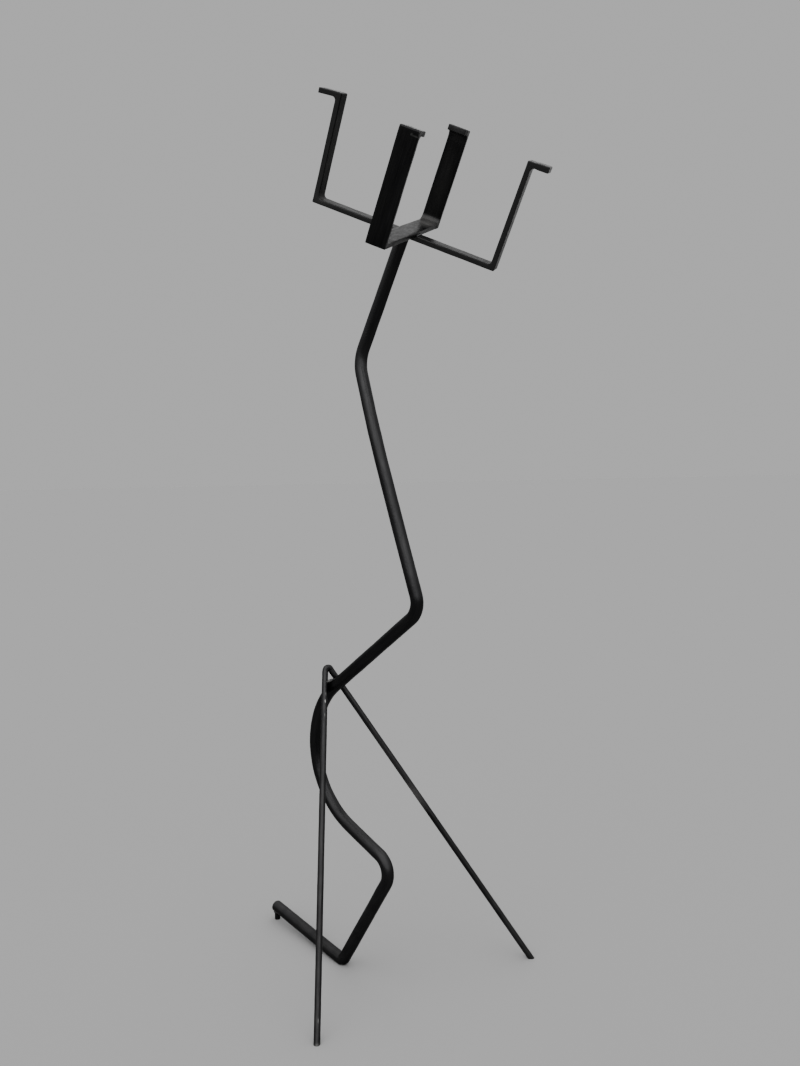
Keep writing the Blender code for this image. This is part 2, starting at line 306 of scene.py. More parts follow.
def work_surface(piece, name, swell, height, depth=2):
    """Wave the skin slightly with a soft cloud."""
    cloud = bpy.data.textures.new(name, "CLOUDS")
    cloud.noise_scale = swell
    cloud.noise_depth = depth
    cloud.noise_basis = "BLENDER_ORIGINAL"
    dent = piece.modifiers.new(name, "DISPLACE")
    dent.texture = cloud
    dent.texture_coords = "LOCAL"
    dent.strength = height
    dent.mid_level = 0.5
    apply_all(piece)


def level_soles(piece):
    """Nothing reaches below the floor."""
    for vertex in piece.data.vertices:
        vertex.co.z = max(vertex.co.z, 0.0)


def note_bare_faces(piece, test):
    """Store which faces were sawn or ground after the black went on, as a number from 0 to 1."""
    flags = [1.0 if test(face.center, face.normal) else 0.0 for face in piece.data.polygons]
    attribute = piece.data.attributes.new("bare_face", "FLOAT", "FACE")
    attribute.data.foreach_set("value", flags)


def dress(piece, material, node=None, smooth_angle=ROUND_SMOOTHING):
    """Smooth the piece, give it its finish and hang it on the frame, in place of a node where
    one is named."""
    hold(piece)
    bpy.ops.object.shade_smooth_by_angle(angle=radians(smooth_angle))
    piece.data.materials.clear()
    piece.data.materials.append(material)
    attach(piece, "root")
    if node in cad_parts:
        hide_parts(node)
    let_go()


# ------------------------------------------------------------------ round bars
def bend_facts(before, corner, after, radius):
    """Where a bend starts and ends, its centre, its axle and its angle."""
    arriving = (corner - before).normalized()
    leaving = (after - corner).normalized()
    turn = acos(arriving.dot(leaving))
    setback = radius * tan(turn / 2)
    centre = corner + (leaving - arriving).normalized() * (radius / cos(turn / 2))
    axle = arriving.cross(leaving).normalized()
    return corner - arriving * setback, corner + leaving * setback, centre, axle, turn


def draw_bar(name, start, bends, end, diameter, sides, pace):
    """Draw a round bar out of its first end: runs are extruded, bends are spun about their
    centres. Gives the bar and the points that its middle line passes."""
    corners = [start] + [corner for corner, _ in bends] + [end]
    first = (corners[1] - corners[0]).normalized()
    let_go()
    bpy.ops.mesh.primitive_circle_add(
        vertices=sides, radius=diameter / 2, fill_type="NGON", location=start,
        rotation=first.to_track_quat("Z", "Y").to_euler())
    bar = bpy.context.object
    bar.name = name
    settle(bar)
    bpy.ops.object.mode_set(mode="EDIT")
    bpy.ops.mesh.select_mode(type="FACE")
    bpy.ops.mesh.select_all(action="SELECT")
    path = [start]

    def run_on(origin, goal):
        steps = max(1, round((goal - origin).length / pace))
        for _ in range(steps):
            extrude((goal - origin) / steps)
        path.append(goal)

    at = start
    for index, (corner, radius) in enumerate(bends, start=1):
        begin, finish, centre, axle, turn = bend_facts(
            corners[index - 1], corner, corners[index + 1], radius)
        run_on(at, begin)
        steps = max(round(turn / BEND_STEP), round(turn * (radius + diameter / 2) / pace))
        bpy.ops.mesh.spin(steps=steps, angle=-turn, center=centre, axis=axle)
        spoke = begin - centre
        for step in range(1, steps + 1):
            path.append(centre + Matrix.Rotation(turn * step / steps, 3, axle) @ spoke)
        at = finish
    run_on(at, end)
    let_go()
    return bar, path


def straighten(piece, path):
    """Store where each point would lie were the bar straight, for grain that follows the bar."""
    points = np.array([tuple(p) for p in path])
    legs = points[1:] - points[:-1]
    lengths = np.linalg.norm(legs, axis=1)
    keep = lengths > NO_LENGTH
    starts, legs, lengths = points[:-1][keep], legs[keep], lengths[keep]
    runs = legs / lengths[:, None]
    reached = np.concatenate([[0.0], np.cumsum(lengths)[:-1]])
    across = np.cross(runs[0], [0.0, 0.0, 1.0])
    across /= np.linalg.norm(across)
    sideways = []
    for run in runs:
        across = across - run * across.dot(run)
        across /= np.linalg.norm(across)
        sideways.append(across)
    sideways = np.array(sideways)
    upward = np.cross(runs, sideways)
    mesh = piece.data
    places = np.empty(len(mesh.vertices) * 3)
    mesh.vertices.foreach_get("co", places)
    places = places.reshape(-1, 3)
    nearest = np.full(len(places), np.inf)
    straight = np.zeros_like(places)
    for start, run, length, along, side, up in zip(
            starts, runs, lengths, reached, sideways, upward):
        offset = places - start
        travel = np.clip(offset @ run, 0.0, length)
        spread = offset - travel[:, None] * run
        distance = np.linalg.norm(spread, axis=1)
        better = distance < nearest
        nearest[better] = distance[better]
        laid_out = np.stack([spread @ side, spread @ up, along + travel], axis=1)
        straight[better] = laid_out[better]
    attribute = mesh.attributes.new("straight_bar", "FLOAT_VECTOR", "POINT")
    attribute.data.foreach_set("vector", straight.astype(np.float32).ravel())


def finish_round_bar(bar, path, waves):
    for name, swell, height in waves:
        work_surface(bar, name, swell, height)
    level_soles(bar)
    straighten(bar, path)


def forge_body_bar():
    neck = (NECK_END - BODY_BENDS[-1][0]).normalized()
    overshoot = neck * BODY_DIAMETER
    bar, path = draw_bar(
        "forged_body", TOE, BODY_BENDS, NECK_END + overshoot, BODY_DIAMETER, BODY_SIDES, BODY_PACE)
    cut_off(bar, NECK_END - HEAD_UP * JOINT_GAP, HEAD_UP)
    cut_off(bar, (0, 0, 0), (0, 0, -1))
    toe_axis = (TOE - BODY_BENDS[0][0]).normalized()
    round_rim(bar, TOE_ROUNDING, lambda centre, normal: normal.dot(toe_axis) > SQUARE_ON
              and (centre - TOE).length < TOE_END_REACH)
    finish_round_bar(bar, path, BODY_WAVES)
    return bar


def forge_leg_bar():
    def past(foot):
        return foot + (foot - HAIRPIN_CORNER).normalized() * LEG_DIAMETER * 2

    bends = ((HAIRPIN_CORNER, HAIRPIN_BEND_RADIUS),)
    bar, path = draw_bar(
        "forged_leg", past(FRONT_FOOT), bends, past(SIDE_FOOT), LEG_DIAMETER, LEG_SIDES, LEG_PACE)
    cut_off(bar, (0, 0, 0), (0, 0, -1))
    take(bar)
    mark(bar, "VERT", lambda place, normal: place.z > HAIRPIN_CORNER.z - CROWN_DEPTH
         and normal.z > CROWN_UPWARD)
    bpy.ops.transform.translate(
        value=(0, 0, CROWN_LIFT), use_proportional_edit=True, proportional_edit_falloff="SMOOTH",
        proportional_size=CROWN_SOFTNESS, use_proportional_connected=True)
    let_go()
    finish_round_bar(bar, path, LEG_WAVES)
    return bar


def toe_to_heel():
    return (BODY_BENDS[0][0] - TOE).normalized()


def peg_foot():
    """Where the middle of the peg meets the floor."""
    along = toe_to_heel()
    level_along = Vector((along.x, along.y, 0.0)).normalized()
    return Vector((TOE.x, TOE.y, 0.0)) + level_along * PEG_TOP_REACH


def forge_toe_peg():
    foot = peg_foot()
    height = TOE.z - PEG_TOP_DEPTH
    let_go()
    bpy.ops.mesh.primitive_cylinder_add(
        vertices=PEG_SIDES, radius=LEG_DIAMETER / 2, depth=height,
        location=foot + Vector((0, 0, height / 2)))
    peg = bpy.context.object
    peg.name = "forged_peg"
    settle(peg)
    take(peg)
    mark(peg, "EDGE", lambda centre, run: abs(run.z) > height / 2)
    bpy.ops.mesh.subdivide(number_cuts=PEG_CUTS)
    round_rim(peg, PEG_ROUNDING, lambda centre, normal: normal.z < -FACES_THAT_WAY)
    bpy.ops.mesh.primitive_cylinder_add(
        vertices=SADDLE_SIDES, radius=BODY_DIAMETER / 2 + PEG_CLEARANCE, depth=SADDLE_LENGTH,
        location=TOE, rotation=toe_to_heel().to_track_quat("Z", "Y").to_euler())
    saddle = bpy.context.object
    cope = peg.modifiers.new("cope", "BOOLEAN")
    cope.object = saddle
    cope.operation = "DIFFERENCE"
    cope.solver = "EXACT"
    apply_all(peg)
    bpy.data.objects.remove(saddle, do_unlink=True)
    straighten(peg, [foot, foot + Vector((0, 0, height))])
    return peg


# ------------------------------------------------------------------ flat bars
def raise_half(bar, facts, index):
    """Draw the low or the high upright and its tip out of the base. Gives the points that the
    bar's middle line passes from tip to foot, the inside corners and the outside corners."""
    side = (-1, 1)[index]
    end, height, lean, tip, droop = (
        facts[name][index] for name in ("ends", "heights", "leans", "tips", "droops"))
    thick = facts["thickness"]
    half = thick / 2
    turn = facts["turn"]
    lean = radians(lean)
    rise = Vector((side * sin(lean), 0, cos(lean)))
    foot = Vector((end - side * half, 0, facts["lift"] + half))
    top = foot + rise * (height - thick)
    mark(bar, "FACE", lambda centre, normal: normal.z > FACES_THAT_WAY
         and abs(centre.x - foot.x) < half)
    extrude(rise * (height - 2 * thick))
    extrude(rise * thick)
    pitch = lean + radians(droop)
    outward = Vector((side * cos(pitch), 0, -sin(pitch)))
    reach = outward * turn
    mark(bar, "FACE", lambda centre, normal: normal.x * side * turn > FACES_THAT_WAY
         and abs(centre.z - top.z) < half and abs(centre.x - top.x) < thick)
    extrude(reach * (tip - thick))
    tip_end = top + reach * (tip - half)
    foot_corner = Vector((side * half, 0, -half))
    top_corner = Vector((-side * turn * half, 0, half))
    inside = [foot - foot_corner, top - top_corner]
    outside = [foot + foot_corner, top + top_corner]
    return [tip_end, top, foot], inside, outside


def bend_corners(bar, facts, insides, outsides):
    """Turn the square corners into bends, each half with its own radius inside, and soften the
    arrises."""
    def near(centre, run, corners):
        level = Vector((centre.x, 0, centre.z))
        return abs(run.y) > FLAT_WIDTH * 0.9 and any(
            (level - corner).length < CORNER_REACH for corner in corners)

    bpy.ops.mesh.select_all(action="SELECT")
    bpy.ops.mesh.dissolve_limited(angle_limit=SAME_PLANE)
    for corners, radius in zip(insides, facts["inner"]):
        mark(bar, "EDGE", lambda centre, run: near(centre, run, corners))
        round_edges(radius, INNER_SEGMENTS)
    mark(bar, "EDGE", lambda centre, run: near(centre, run, outsides))
    round_edges(facts["outer"], OUTER_SEGMENTS)
    let_go()
    arris = bar.modifiers.new("arris", "BEVEL")
    arris.width = ARRIS
    arris.segments = RIM_SEGMENTS
    arris.limit_method = "ANGLE"
    arris.angle_limit = ARRIS_ANGLE
    apply_all(bar)


def cut_finer(facts):
    """Cut the open bar across, up and along, so that it has points enough to wave."""
    low, high = facts["ends"]
    lift = facts["lift"]
    for x in np.arange(low - CUTS_PAST_ENDS, high + CUTS_PAST_ENDS, CUT_PACE):
        cut((x, 0, 0), (1, 0, 0))
    for z in np.arange(lift + CUTS_UP[0], lift + CUTS_UP[1], CUT_PACE):
        cut((0, 0, z), (0, 0, 1))
    for y in CUTS_ACROSS:
        cut((0, y, 0), (0, 1, 0))
    bpy.ops.mesh.select_all(action="SELECT")
    bpy.ops.mesh.remove_doubles(threshold=MERGE_DISTANCE)


def hammer_high_half(bar, facts, top):
    """Thicken the high half's tip and widen its upright."""
    thick = facts["thickness"]
    mark(bar, "VERT", lambda place, normal: abs(place.z - top.z) < thick
         and thick / 2 + UPSET_START < (place.x - top.x) * facts["turn"] < facts["tips"][1])
    bpy.ops.transform.resize(
        value=(1, 1, facts["upset"]), center_override=top, use_proportional_edit=True,
        proportional_edit_falloff="SMOOTH", proportional_size=UPSET_SOFTNESS,
        use_proportional_connected=True)
    upright = facts["ends"][1] - thick - facts["inner"][1] - SPREAD_START
    mark(bar, "VERT", lambda place, normal: place.x > upright)
    bpy.ops.transform.resize(value=(1, facts["spread"], 1), center_override=(0, 0, 0))


def forge_flat_bar(name, facts, quarter_turn):
    """A flat bar bent up twice and over at both tips, worked from one block in the head's axes."""
    low, high = facts["ends"]
    thick = facts["thickness"]
    let_go()
    bpy.ops.mesh.primitive_cube_add(
        size=1, location=((low + high) / 2, 0, facts["lift"] + thick / 2))
    bar = bpy.context.object
    bar.name = name
    bar.scale = (high - low, FLAT_WIDTH, thick)
    settle(bar)
    take(bar)
    for across in (low + thick, high - thick):
        cut((across, 0, 0), (1, 0, 0))
    low_leg, low_inside, low_outside = raise_half(bar, facts, 0)
    high_leg, high_inside, high_outside = raise_half(bar, facts, 1)
    path = low_leg + high_leg[::-1]
    bend_corners(bar, facts, (low_inside, high_inside), low_outside + high_outside)
    take(bar)
    cut_finer(facts)
    hammer_high_half(bar, facts, high_leg[1])
    let_go()
    straighten(bar, path)
    tip_run = (path[1] - path[0]).normalized()
    note_bare_faces(bar, lambda centre, normal: abs(normal.y) > SAWN_OR_GROUND or any(
        (Vector((centre.x, 0, centre.z)) - end).length < thick * 0.75
        and abs(normal.dot(tip_run)) > SAWN_OR_GROUND for end in (path[0], path[-1])))
    spin = Matrix.Rotation(pi / 2, 4, "Z") if quarter_turn else Matrix.Identity(4)
    bar.matrix_world = HEAD @ spin
    settle(bar)
    for wave, swell, height in FLAT_WAVES:
        work_surface(bar, "%s_%s" % (name, wave), swell, height)
    return bar


# ------------------------------------------------------------------ weld beads
def blob_size(index):
    """Blobs differ by a tenth at most, in no order that the eye finds."""
    return 1.0 + 0.10 * sin(2.3 * index) * cos(1.1 * index)


def lay_bead(name, places, bead):
    """A weld bead: flattened blobs laid one over the other along its run, like fallen coins."""
    blobs = []
    for index, place in enumerate(places):
        ahead = places[min(index + 1, len(places) - 1)] - places[max(index - 1, 0)]
        if not blobs:
            let_go()
            bpy.ops.mesh.primitive_uv_sphere_add(
                segments=BEAD_SIDES, ring_count=BEAD_RINGS, radius=bead)
            blob = bpy.context.object
            blob.scale = (1.0, 1.0, BEAD_FLATNESS)
            settle(blob)
        else:
            blob = blobs[0].copy()
            blob.data = blobs[0].data.copy()
            bpy.context.collection.objects.link(blob)
        blobs.append(blob)
        blob.matrix_world = (
            Matrix.Translation(place)
            @ ahead.normalized().to_track_quat("Z", "Y").to_matrix().to_4x4()
            @ Matrix.Rotation(BEAD_TILT, 4, "X") @ Matrix.Scale(blob_size(index), 4))
    let_go()
    for blob in blobs:
        blob.select_set(True)
    bpy.context.view_layer.objects.active = blobs[0]
    bpy.ops.object.join()
    bead_run = bpy.context.object
    bead_run.name = name
    settle(bead_run)
    work_surface(bead_run, name + "_spatter", SPATTER_SIZE, bead * SPATTER_SHARE, depth=1)
    return bead_run


def ring_run(centre, axis, radius, pace):
    """Places along a ring about an axis."""
    aside = axis.orthogonal().normalized() * radius
    steps = round(radius * 2 * pi / pace)
    return [centre + Matrix.Rotation(2 * pi * step / steps, 3, axis) @ aside
            for step in range(steps)]


def line_run(start, end, pace):
    steps = max(2, round((end - start).length / pace))
    return [start.lerp(end, step / steps) for step in range(steps + 1)]


def crossing(first, first_end, second, second_end, radius):
    """Where a round bar of this radius touches the one it crosses, and the way to that one."""
    one, other = (first_end - first).normalized(), (second_end - second).normalized()
    apart = first - second
    turned = one.dot(other)
    along_one = (turned * other.dot(apart) - one.dot(apart)) / (1 - turned ** 2)
    along_other = (other.dot(apart) - turned * one.dot(apart)) / (1 - turned ** 2)
    near, far = first + one * along_one, second + other * along_other
    across = (far - near).normalized()
    return near + across * radius, across


# ------------------------------------------------------------------ nodes
def node(tree, kind, place, **settings):
    made = tree.nodes.new(kind)
    made.location = place
    for key, value in settings.items():
        setattr(made, key, value)
    return made


def feed(tree, socket, value):
    """Join a socket to another one, or give it a plain value."""
    if isinstance(value, bpy.types.NodeSocket):
        tree.links.new(value, socket)
    else:
        socket.default_value = value


def work_out(tree, place, operation, *values):
    """The result of one sum."""
    made = node(tree, "ShaderNodeMath", place, operation=operation)
    for socket, value in zip(made.inputs, values):
        feed(tree, socket, value)
    return made.outputs["Value"]


def scaled(tree, place, value, amount):
    return work_out(tree, place, "MULTIPLY", value, amount)


def dot_product(tree, place, first, second):
    made = node(tree, "ShaderNodeVectorMath", place, operation="DOT_PRODUCT")
    feed(tree, made.inputs[0], first)
    feed(tree, made.inputs[1], second)
    return made.outputs["Value"]


def ramp(tree, place, value, low, high):
    """Stretch a value so that low becomes 0 and high becomes 1, clamped."""
    stretch = node(tree, "ShaderNodeMapRange", place, clamp=True)
    stretch.inputs["From Min"].default_value = low
    stretch.inputs["From Max"].default_value = high
    tree.links.new(value, stretch.inputs["Value"])
    return stretch.outputs["Result"]


def noise(tree, place, vector, scale, detail, roughness=0.5):
    made = node(tree, "ShaderNodeTexNoise", place)
    tree.links.new(vector, made.inputs["Vector"])
    feed(tree, made.inputs["Scale"], scale)
    made.inputs["Detail"].default_value = detail
    made.inputs["Roughness"].default_value = roughness
    return made.outputs["Fac"]


def mix_colour(tree, place, factor, under, over):
    mix = node(tree, "ShaderNodeMix", place, data_type="RGBA")
    for socket, value in ((0, factor), (6, under), (7, over)):
        feed(tree, mix.inputs[socket], (*value, 1.0) if isinstance(value, tuple) else value)
    return mix.outputs[2]


def new_group(name, vectors, numbers, results):
    """A group of nodes that takes vectors, and numbers with their usual values, and gives numbers
    that change over the surface."""
    group = bpy.data.node_groups.new(name, "ShaderNodeTree")
    for label in vectors:
        group.interface.new_socket(label, in_out="INPUT", socket_type="NodeSocketVector")
    for label, value in numbers.items():
        socket = group.interface.new_socket(label, in_out="INPUT", socket_type="NodeSocketFloat")
        socket.default_value = value
    for label in results:
        group.interface.new_socket(label, in_out="OUTPUT", socket_type="NodeSocketFloat")
    enter = node(group, "NodeGroupInput", (-900, 0))
    leave = node(group, "NodeGroupOutput", (700, 0))
    return group, enter.outputs, leave.inputs


def place_group(tree, group, place, vector, **values):
    """Place a group, with the vector joined to its first input."""
    made = node(tree, "ShaderNodeGroup", place)
    made.node_tree = group
    tree.links.new(vector, made.inputs[0])
    for label, value in values.items():
        made.inputs[label].default_value = value
    return made.outputs


# ------------------------------------------------------------------ marks on the black
def make_mottle_group():
    """Blotches of thicker and thinner mill scale, and fine flecks."""
    group, given, result = new_group(
        "scale_mottle", ("Vector",), {"Blotch Scale": 22.0, "Fleck Scale": 160.0},
        ("Blotch", "Fleck"))
    blotch = noise(group, (-600, 150), given["Vector"], given["Blotch Scale"], 5.0, 0.62)
    fleck = noise(group, (-600, -150), given["Vector"], given["Fleck Scale"], 3.0, 0.55)
    group.links.new(ramp(group, (-300, 150), blotch, 0.36, 0.66), result["Blotch"])
    group.links.new(ramp(group, (-300, -150), fleck, 0.40, 0.68), result["Fleck"])
    return group


def make_streak_group():
    """Long faint lines left by rolling and by rubbing along the bar."""
    group, given, result = new_group(
        "drawn_streaks", ("Straight Bar",), {"Fineness": 900.0}, ("Streak",))
    squeeze = node(group, "ShaderNodeMapping", (-650, 0))
    squeeze.inputs["Scale"].default_value = (1.0, 1.0, 0.02)
    group.links.new(given["Straight Bar"], squeeze.inputs["Vector"])
    lines = noise(group, (-400, 0), squeeze.outputs["Vector"], given["Fineness"], 2.0)
    group.links.new(ramp(group, (-100, 0), lines, 0.38, 0.70), result["Streak"])
    return group


def make_edge_wear_group():
    """Arrises rubbed through the black: the rounded normal is set against the true one."""
    group, given, result = new_group("arris_wear", ("Vector",), {"Width": 0.002}, ("Wear",))
    rounded = node(group, "ShaderNodeBevel", (-650, 100), samples=6)
    group.links.new(given["Width"], rounded.inputs["Radius"])
    true = node(group, "ShaderNodeNewGeometry", (-650, -100))
    meet = dot_product(group, (-450, 0), rounded.outputs["Normal"], true.outputs["Normal"])
    edge = ramp(group, (-250, 0), meet, 0.985, 0.86)
    patchy = noise(group, (-450, -250), given["Vector"], 90.0, 4.0)
    patches = ramp(group, (-250, -250), patchy, 0.35, 0.62)
    group.links.new(work_out(group, (0, 0), "MULTIPLY", edge, patches), result["Wear"])
    return group


def make_dust_and_painted_light_group():
    """Thin pale dust where a face looks up, a paler film towards the floor, and painted light on
    faces that look back, which lightens the side that the lamps light least.
    """
    group, given, result = new_group("dust_and_painted_light_film", ("Vector",), {}, ("Dust And Painted Light",))
    facing = node(group, "ShaderNodeNewGeometry", (-650, 100))
    split = node(group, "ShaderNodeSeparateXYZ", (-450, 100))
    group.links.new(facing.outputs["Normal"], split.inputs["Vector"])
    upward = ramp(group, (-250, 100), split.outputs["Z"], 0.25, 0.95)
    looking_back = ramp(group, (-250, 300), split.outputs["Y"], 0.05, 0.80)
    height = node(group, "ShaderNodeSeparateXYZ", (-450, -400))
    group.links.new(given["Vector"], height.inputs["Vector"])
    near_floor = ramp(group, (-250, -400), height.outputs["Z"], 0.55, 0.05)
    cloudy = noise(group, (-450, -150), given["Vector"], 35.0, 6.0)
    patches = ramp(group, (-250, -150), cloudy, 0.30, 0.70)
    paler_near_floor = scaled(group, (0, -400), near_floor, 1.4)
    # painted light: faces that look back are made paler, to lighten the side that the lamps light
    # least
    painted_back_light = scaled(group, (0, 300), looking_back, 3.2)
    film_amount = work_out(group, (150, 0), "ADD", upward, paler_near_floor)
    film_amount = work_out(group, (300, 0), "ADD", film_amount, painted_back_light)
    group.links.new(work_out(group, (450, 0), "MULTIPLY", film_amount, patches), result["Dust And Painted Light"])
    return group


def make_pit_group():
    """Shallow pits and lumps of scale, as a height."""
    group, given, result = new_group("scale_pits", ("Vector",), {"Pit Scale": 260.0}, ("Height",))
    grain = noise(group, (-600, 150), given["Vector"], given["Pit Scale"], 6.0, 0.62)
    cells = node(group, "ShaderNodeTexVoronoi", (-600, -150), feature="F1")
    cells.inputs["Randomness"].default_value = 1.0
    group.links.new(given["Vector"], cells.inputs["Vector"])
    wider = scaled(group, (-800, -250), given["Pit Scale"], 0.42)
    group.links.new(wider, cells.inputs["Scale"])
    lip = ramp(group, (-350, -150), cells.outputs["Distance"], 0.08, 0.30)
    both = work_out(group, (-50, 0), "MULTIPLY_ADD", lip, 0.55, grain)
    group.links.new(both, result["Height"])
    return group


def make_patch_spot_group():
    """One patch: egg-shaped, ragged at its rim."""
    group, given, result = new_group(
        "patch_spot", ("Vector", "Centre", "Turn", "Reach"), {}, ("Spot",))
    local = node(group, "ShaderNodeMapping", (-650, 100), vector_type="TEXTURE")
    group.links.new(given["Vector"], local.inputs["Vector"])
    group.links.new(given["Centre"], local.inputs["Location"])
    group.links.new(given["Turn"], local.inputs["Rotation"])
    group.links.new(given["Reach"], local.inputs["Scale"])
    far = node(group, "ShaderNodeVectorMath", (-450, 100), operation="LENGTH")
    group.links.new(local.outputs["Vector"], far.inputs[0])
    ragged = noise(group, (-650, -200), given["Vector"], 420.0, 3.0)
    rim = work_out(group, (-250, 0), "MULTIPLY_ADD", ragged, 0.9, far.outputs["Value"])
    group.links.new(ramp(group, (0, 0), rim, 1.35, 0.75), result["Spot"])
    return group


def make_groups():
    return {
        "mottle": make_mottle_group(), "streaks": make_streak_group(),
        "wear": make_edge_wear_group(), "dust_and_painted_light": make_dust_and_painted_light_group(), "pits": make_pit_group(),
        "spot": make_patch_spot_group()}


def blackened_steel(groups, name, colours, smoothness, streaks=0.06, wear=0.25, dust_and_painted_light=0.10,
                    pits=0.45, drawn=0.2, tint=0.54, bare=0.0, scuffs_and_painted_light=(), films_and_painted_light=()):
    """Forged steel under black scale and wax. colours are those of thick scale, thin scale and
    rubbed metal, smoothness is (shiniest, dullest) roughness, drawn squeezes the blotches along
    the bar, tint is the sheen at grazing angles, bare is how far sawn and ground faces show
    through. The first list of patches gives spots of another brightness: real scuffs and wear,
    and painted highlight and painted shade. The second gives spots of pale matte film, some of
    them painted light."""
    dark, grey, worn = colours
    material = bpy.data.materials.new(name)
    material.use_nodes = True
    tree = material.node_tree
    shader = tree.nodes["Principled BSDF"]
    shader.location = (800, 0)
    tree.nodes["Material Output"].location = (1100, 0)
    shader.inputs["Specular IOR Level"].default_value = 0.0
    shader.inputs["Specular Tint"].default_value = (tint, tint, tint, 1.0)

    where = node(tree, "ShaderNodeTexCoord", (-1700, 0)).outputs["Object"]
    straight = where
    if drawn:
        straight = node(
            tree, "ShaderNodeAttribute", (-1700, -300),
            attribute_name="straight_bar").outputs["Vector"]
    long_way = node(tree, "ShaderNodeMapping", (-1450, 200))
    long_way.inputs["Scale"].default_value = (1.0, 1.0, drawn or 1.0)
    tree.links.new(straight, long_way.inputs["Vector"])
    mottle = place_group(tree, groups["mottle"], (-1200, 200), long_way.outputs["Vector"])
    streak = place_group(tree, groups["streaks"], (-1200, -200), straight)
    rubbed = place_group(tree, groups["wear"], (-1200, -450), where)
    film_mask = place_group(tree, groups["dust_and_painted_light"], (-1200, -700), where)
    pitted = place_group(tree, groups["pits"], (-1200, -950), where)

    flecks = scaled(tree, (-850, 50), mottle["Fleck"], 0.35)
    lines = scaled(tree, (-850, -150), streak["Streak"], streaks)
    edges = scaled(tree, (-850, -400), rubbed["Wear"], wear)
    colour = mix_colour(tree, (-850, 300), mottle["Blotch"], dark, grey)
    colour = mix_colour(tree, (-650, 300), flecks, colour, dark)
    colour = mix_colour(tree, (-450, 300), lines, colour, worn)
    colour = mix_colour(tree, (-250, 300), edges, colour, worn)
    # Patches of another brightness: real scuffs and wear, and painted highlight and painted shade.
    for index, (centre, turn, reach, brightness) in enumerate(scuffs_and_painted_light):
        down = -1200 - 250 * index
        patch_mask = place_group(
            tree, groups["spot"], (-1200, down), where, Centre=centre, Turn=turn, Reach=reach)
        cover = scaled(tree, (-850, down), patch_mask["Spot"], PATCH_COVER)
        colour = mix_colour(
            tree, (-250 + 150 * index, 500), cover, colour,
            (brightness, brightness, brightness * PATCH_BLUE))
    if bare:
        ground = node(tree, "ShaderNodeAttribute", (150, 850), attribute_name="bare_face")
        shown = scaled(tree, (150, 650), ground.outputs["Fac"], bare)
        colour = mix_colour(tree, (400, 500), shown, colour, BARE)

    film = scaled(tree, (-850, -650), film_mask["Dust And Painted Light"], dust_and_painted_light)
    # Patches of pale film, some of them painted light that lifts shaded places.
    for index, (centre, turn, reach, amount) in enumerate(films_and_painted_light):
        down = -700 - 250 * index
        film_patch = place_group(
            tree, groups["spot"], (-1500, down), where, Centre=centre, Turn=turn, Reach=reach)
        film = work_out(tree, (-650, down), "MULTIPLY_ADD", film_patch["Spot"], amount, film)
    colour = mix_colour(tree, (550, 300), film, colour, PALE_FILM_COLOUR)
    tree.links.new(colour, shader.inputs["Base Color"])
    metal = work_out(tree, (-250, -550), "SUBTRACT", METALLIC, film)
    tree.links.new(metal, shader.inputs["Metallic"])

    blotches = scaled(tree, (-650, -50), mottle["Blotch"], 0.4)
    uneven = work_out(tree, (-450, 0), "MULTIPLY_ADD", mottle["Fleck"], 0.6, blotches)
    gloss = node(tree, "ShaderNodeMapRange", (-250, 0))
    gloss.inputs["To Min"].default_value = smoothness[0]
    gloss.inputs["To Max"].default_value = smoothness[1]
    tree.links.new(uneven, gloss.inputs["Value"])
    tree.links.new(gloss.outputs["Result"], shader.inputs["Roughness"])
    bump = node(tree, "ShaderNodeBump", (-250, -300))
    bump.inputs["Strength"].default_value = pits
    bump.inputs["Distance"].default_value = PIT_DEPTH
    tree.links.new(pitted["Height"], bump.inputs["Height"])
    tree.links.new(bump.outputs["Normal"], shader.inputs["Normal"])
    return material


def make_finishes():
    groups = make_groups()
    flat = {"wear": 0.35, "dust_and_painted_light": 0.22, "bare": 0.6, "tint": 0.44}
    return {
        "body": blackened_steel(
            groups, "body_black", BODY_BLACK, (0.24, 0.38), wear=0.20, dust_and_painted_light=0.075),
        "leg": blackened_steel(
            groups, "leg_black", LEG_BLACK, (0.28, 0.44), streaks=0.14, dust_and_painted_light=0.15,
            scuffs_and_painted_light=LEG_SCUFFS_AND_PAINTED_LIGHT, films_and_painted_light=LEG_PALE_FILM),
        "front_bar": blackened_steel(
            groups, "front_bar_black", FLAT_BLACK, (0.27, 0.42), scuffs_and_painted_light=FRONT_MARKS_AND_PAINTED_LIGHT,
            films_and_painted_light=FRONT_PALE_FILM_AND_PAINTED_LIGHT, **flat),
        "side_bar": blackened_steel(
            groups, "side_bar_black", FLAT_BLACK, (0.27, 0.42), scuffs_and_painted_light=SIDE_LIGHTER_UPRIGHT,
            films_and_painted_light=SIDE_PALE_FILM, **flat),
        "peg": blackened_steel(groups, "peg_black", BODY_BLACK, (0.30, 0.46), streaks=0.10),
        "weld": blackened_steel(
            groups, "weld_black", WELD_BLACK, (0.30, 0.50), streaks=0.0, wear=0.4, pits=0.6,
            drawn=0.0, scuffs_and_painted_light=BEAD_PAINTED_LIGHT),
    }


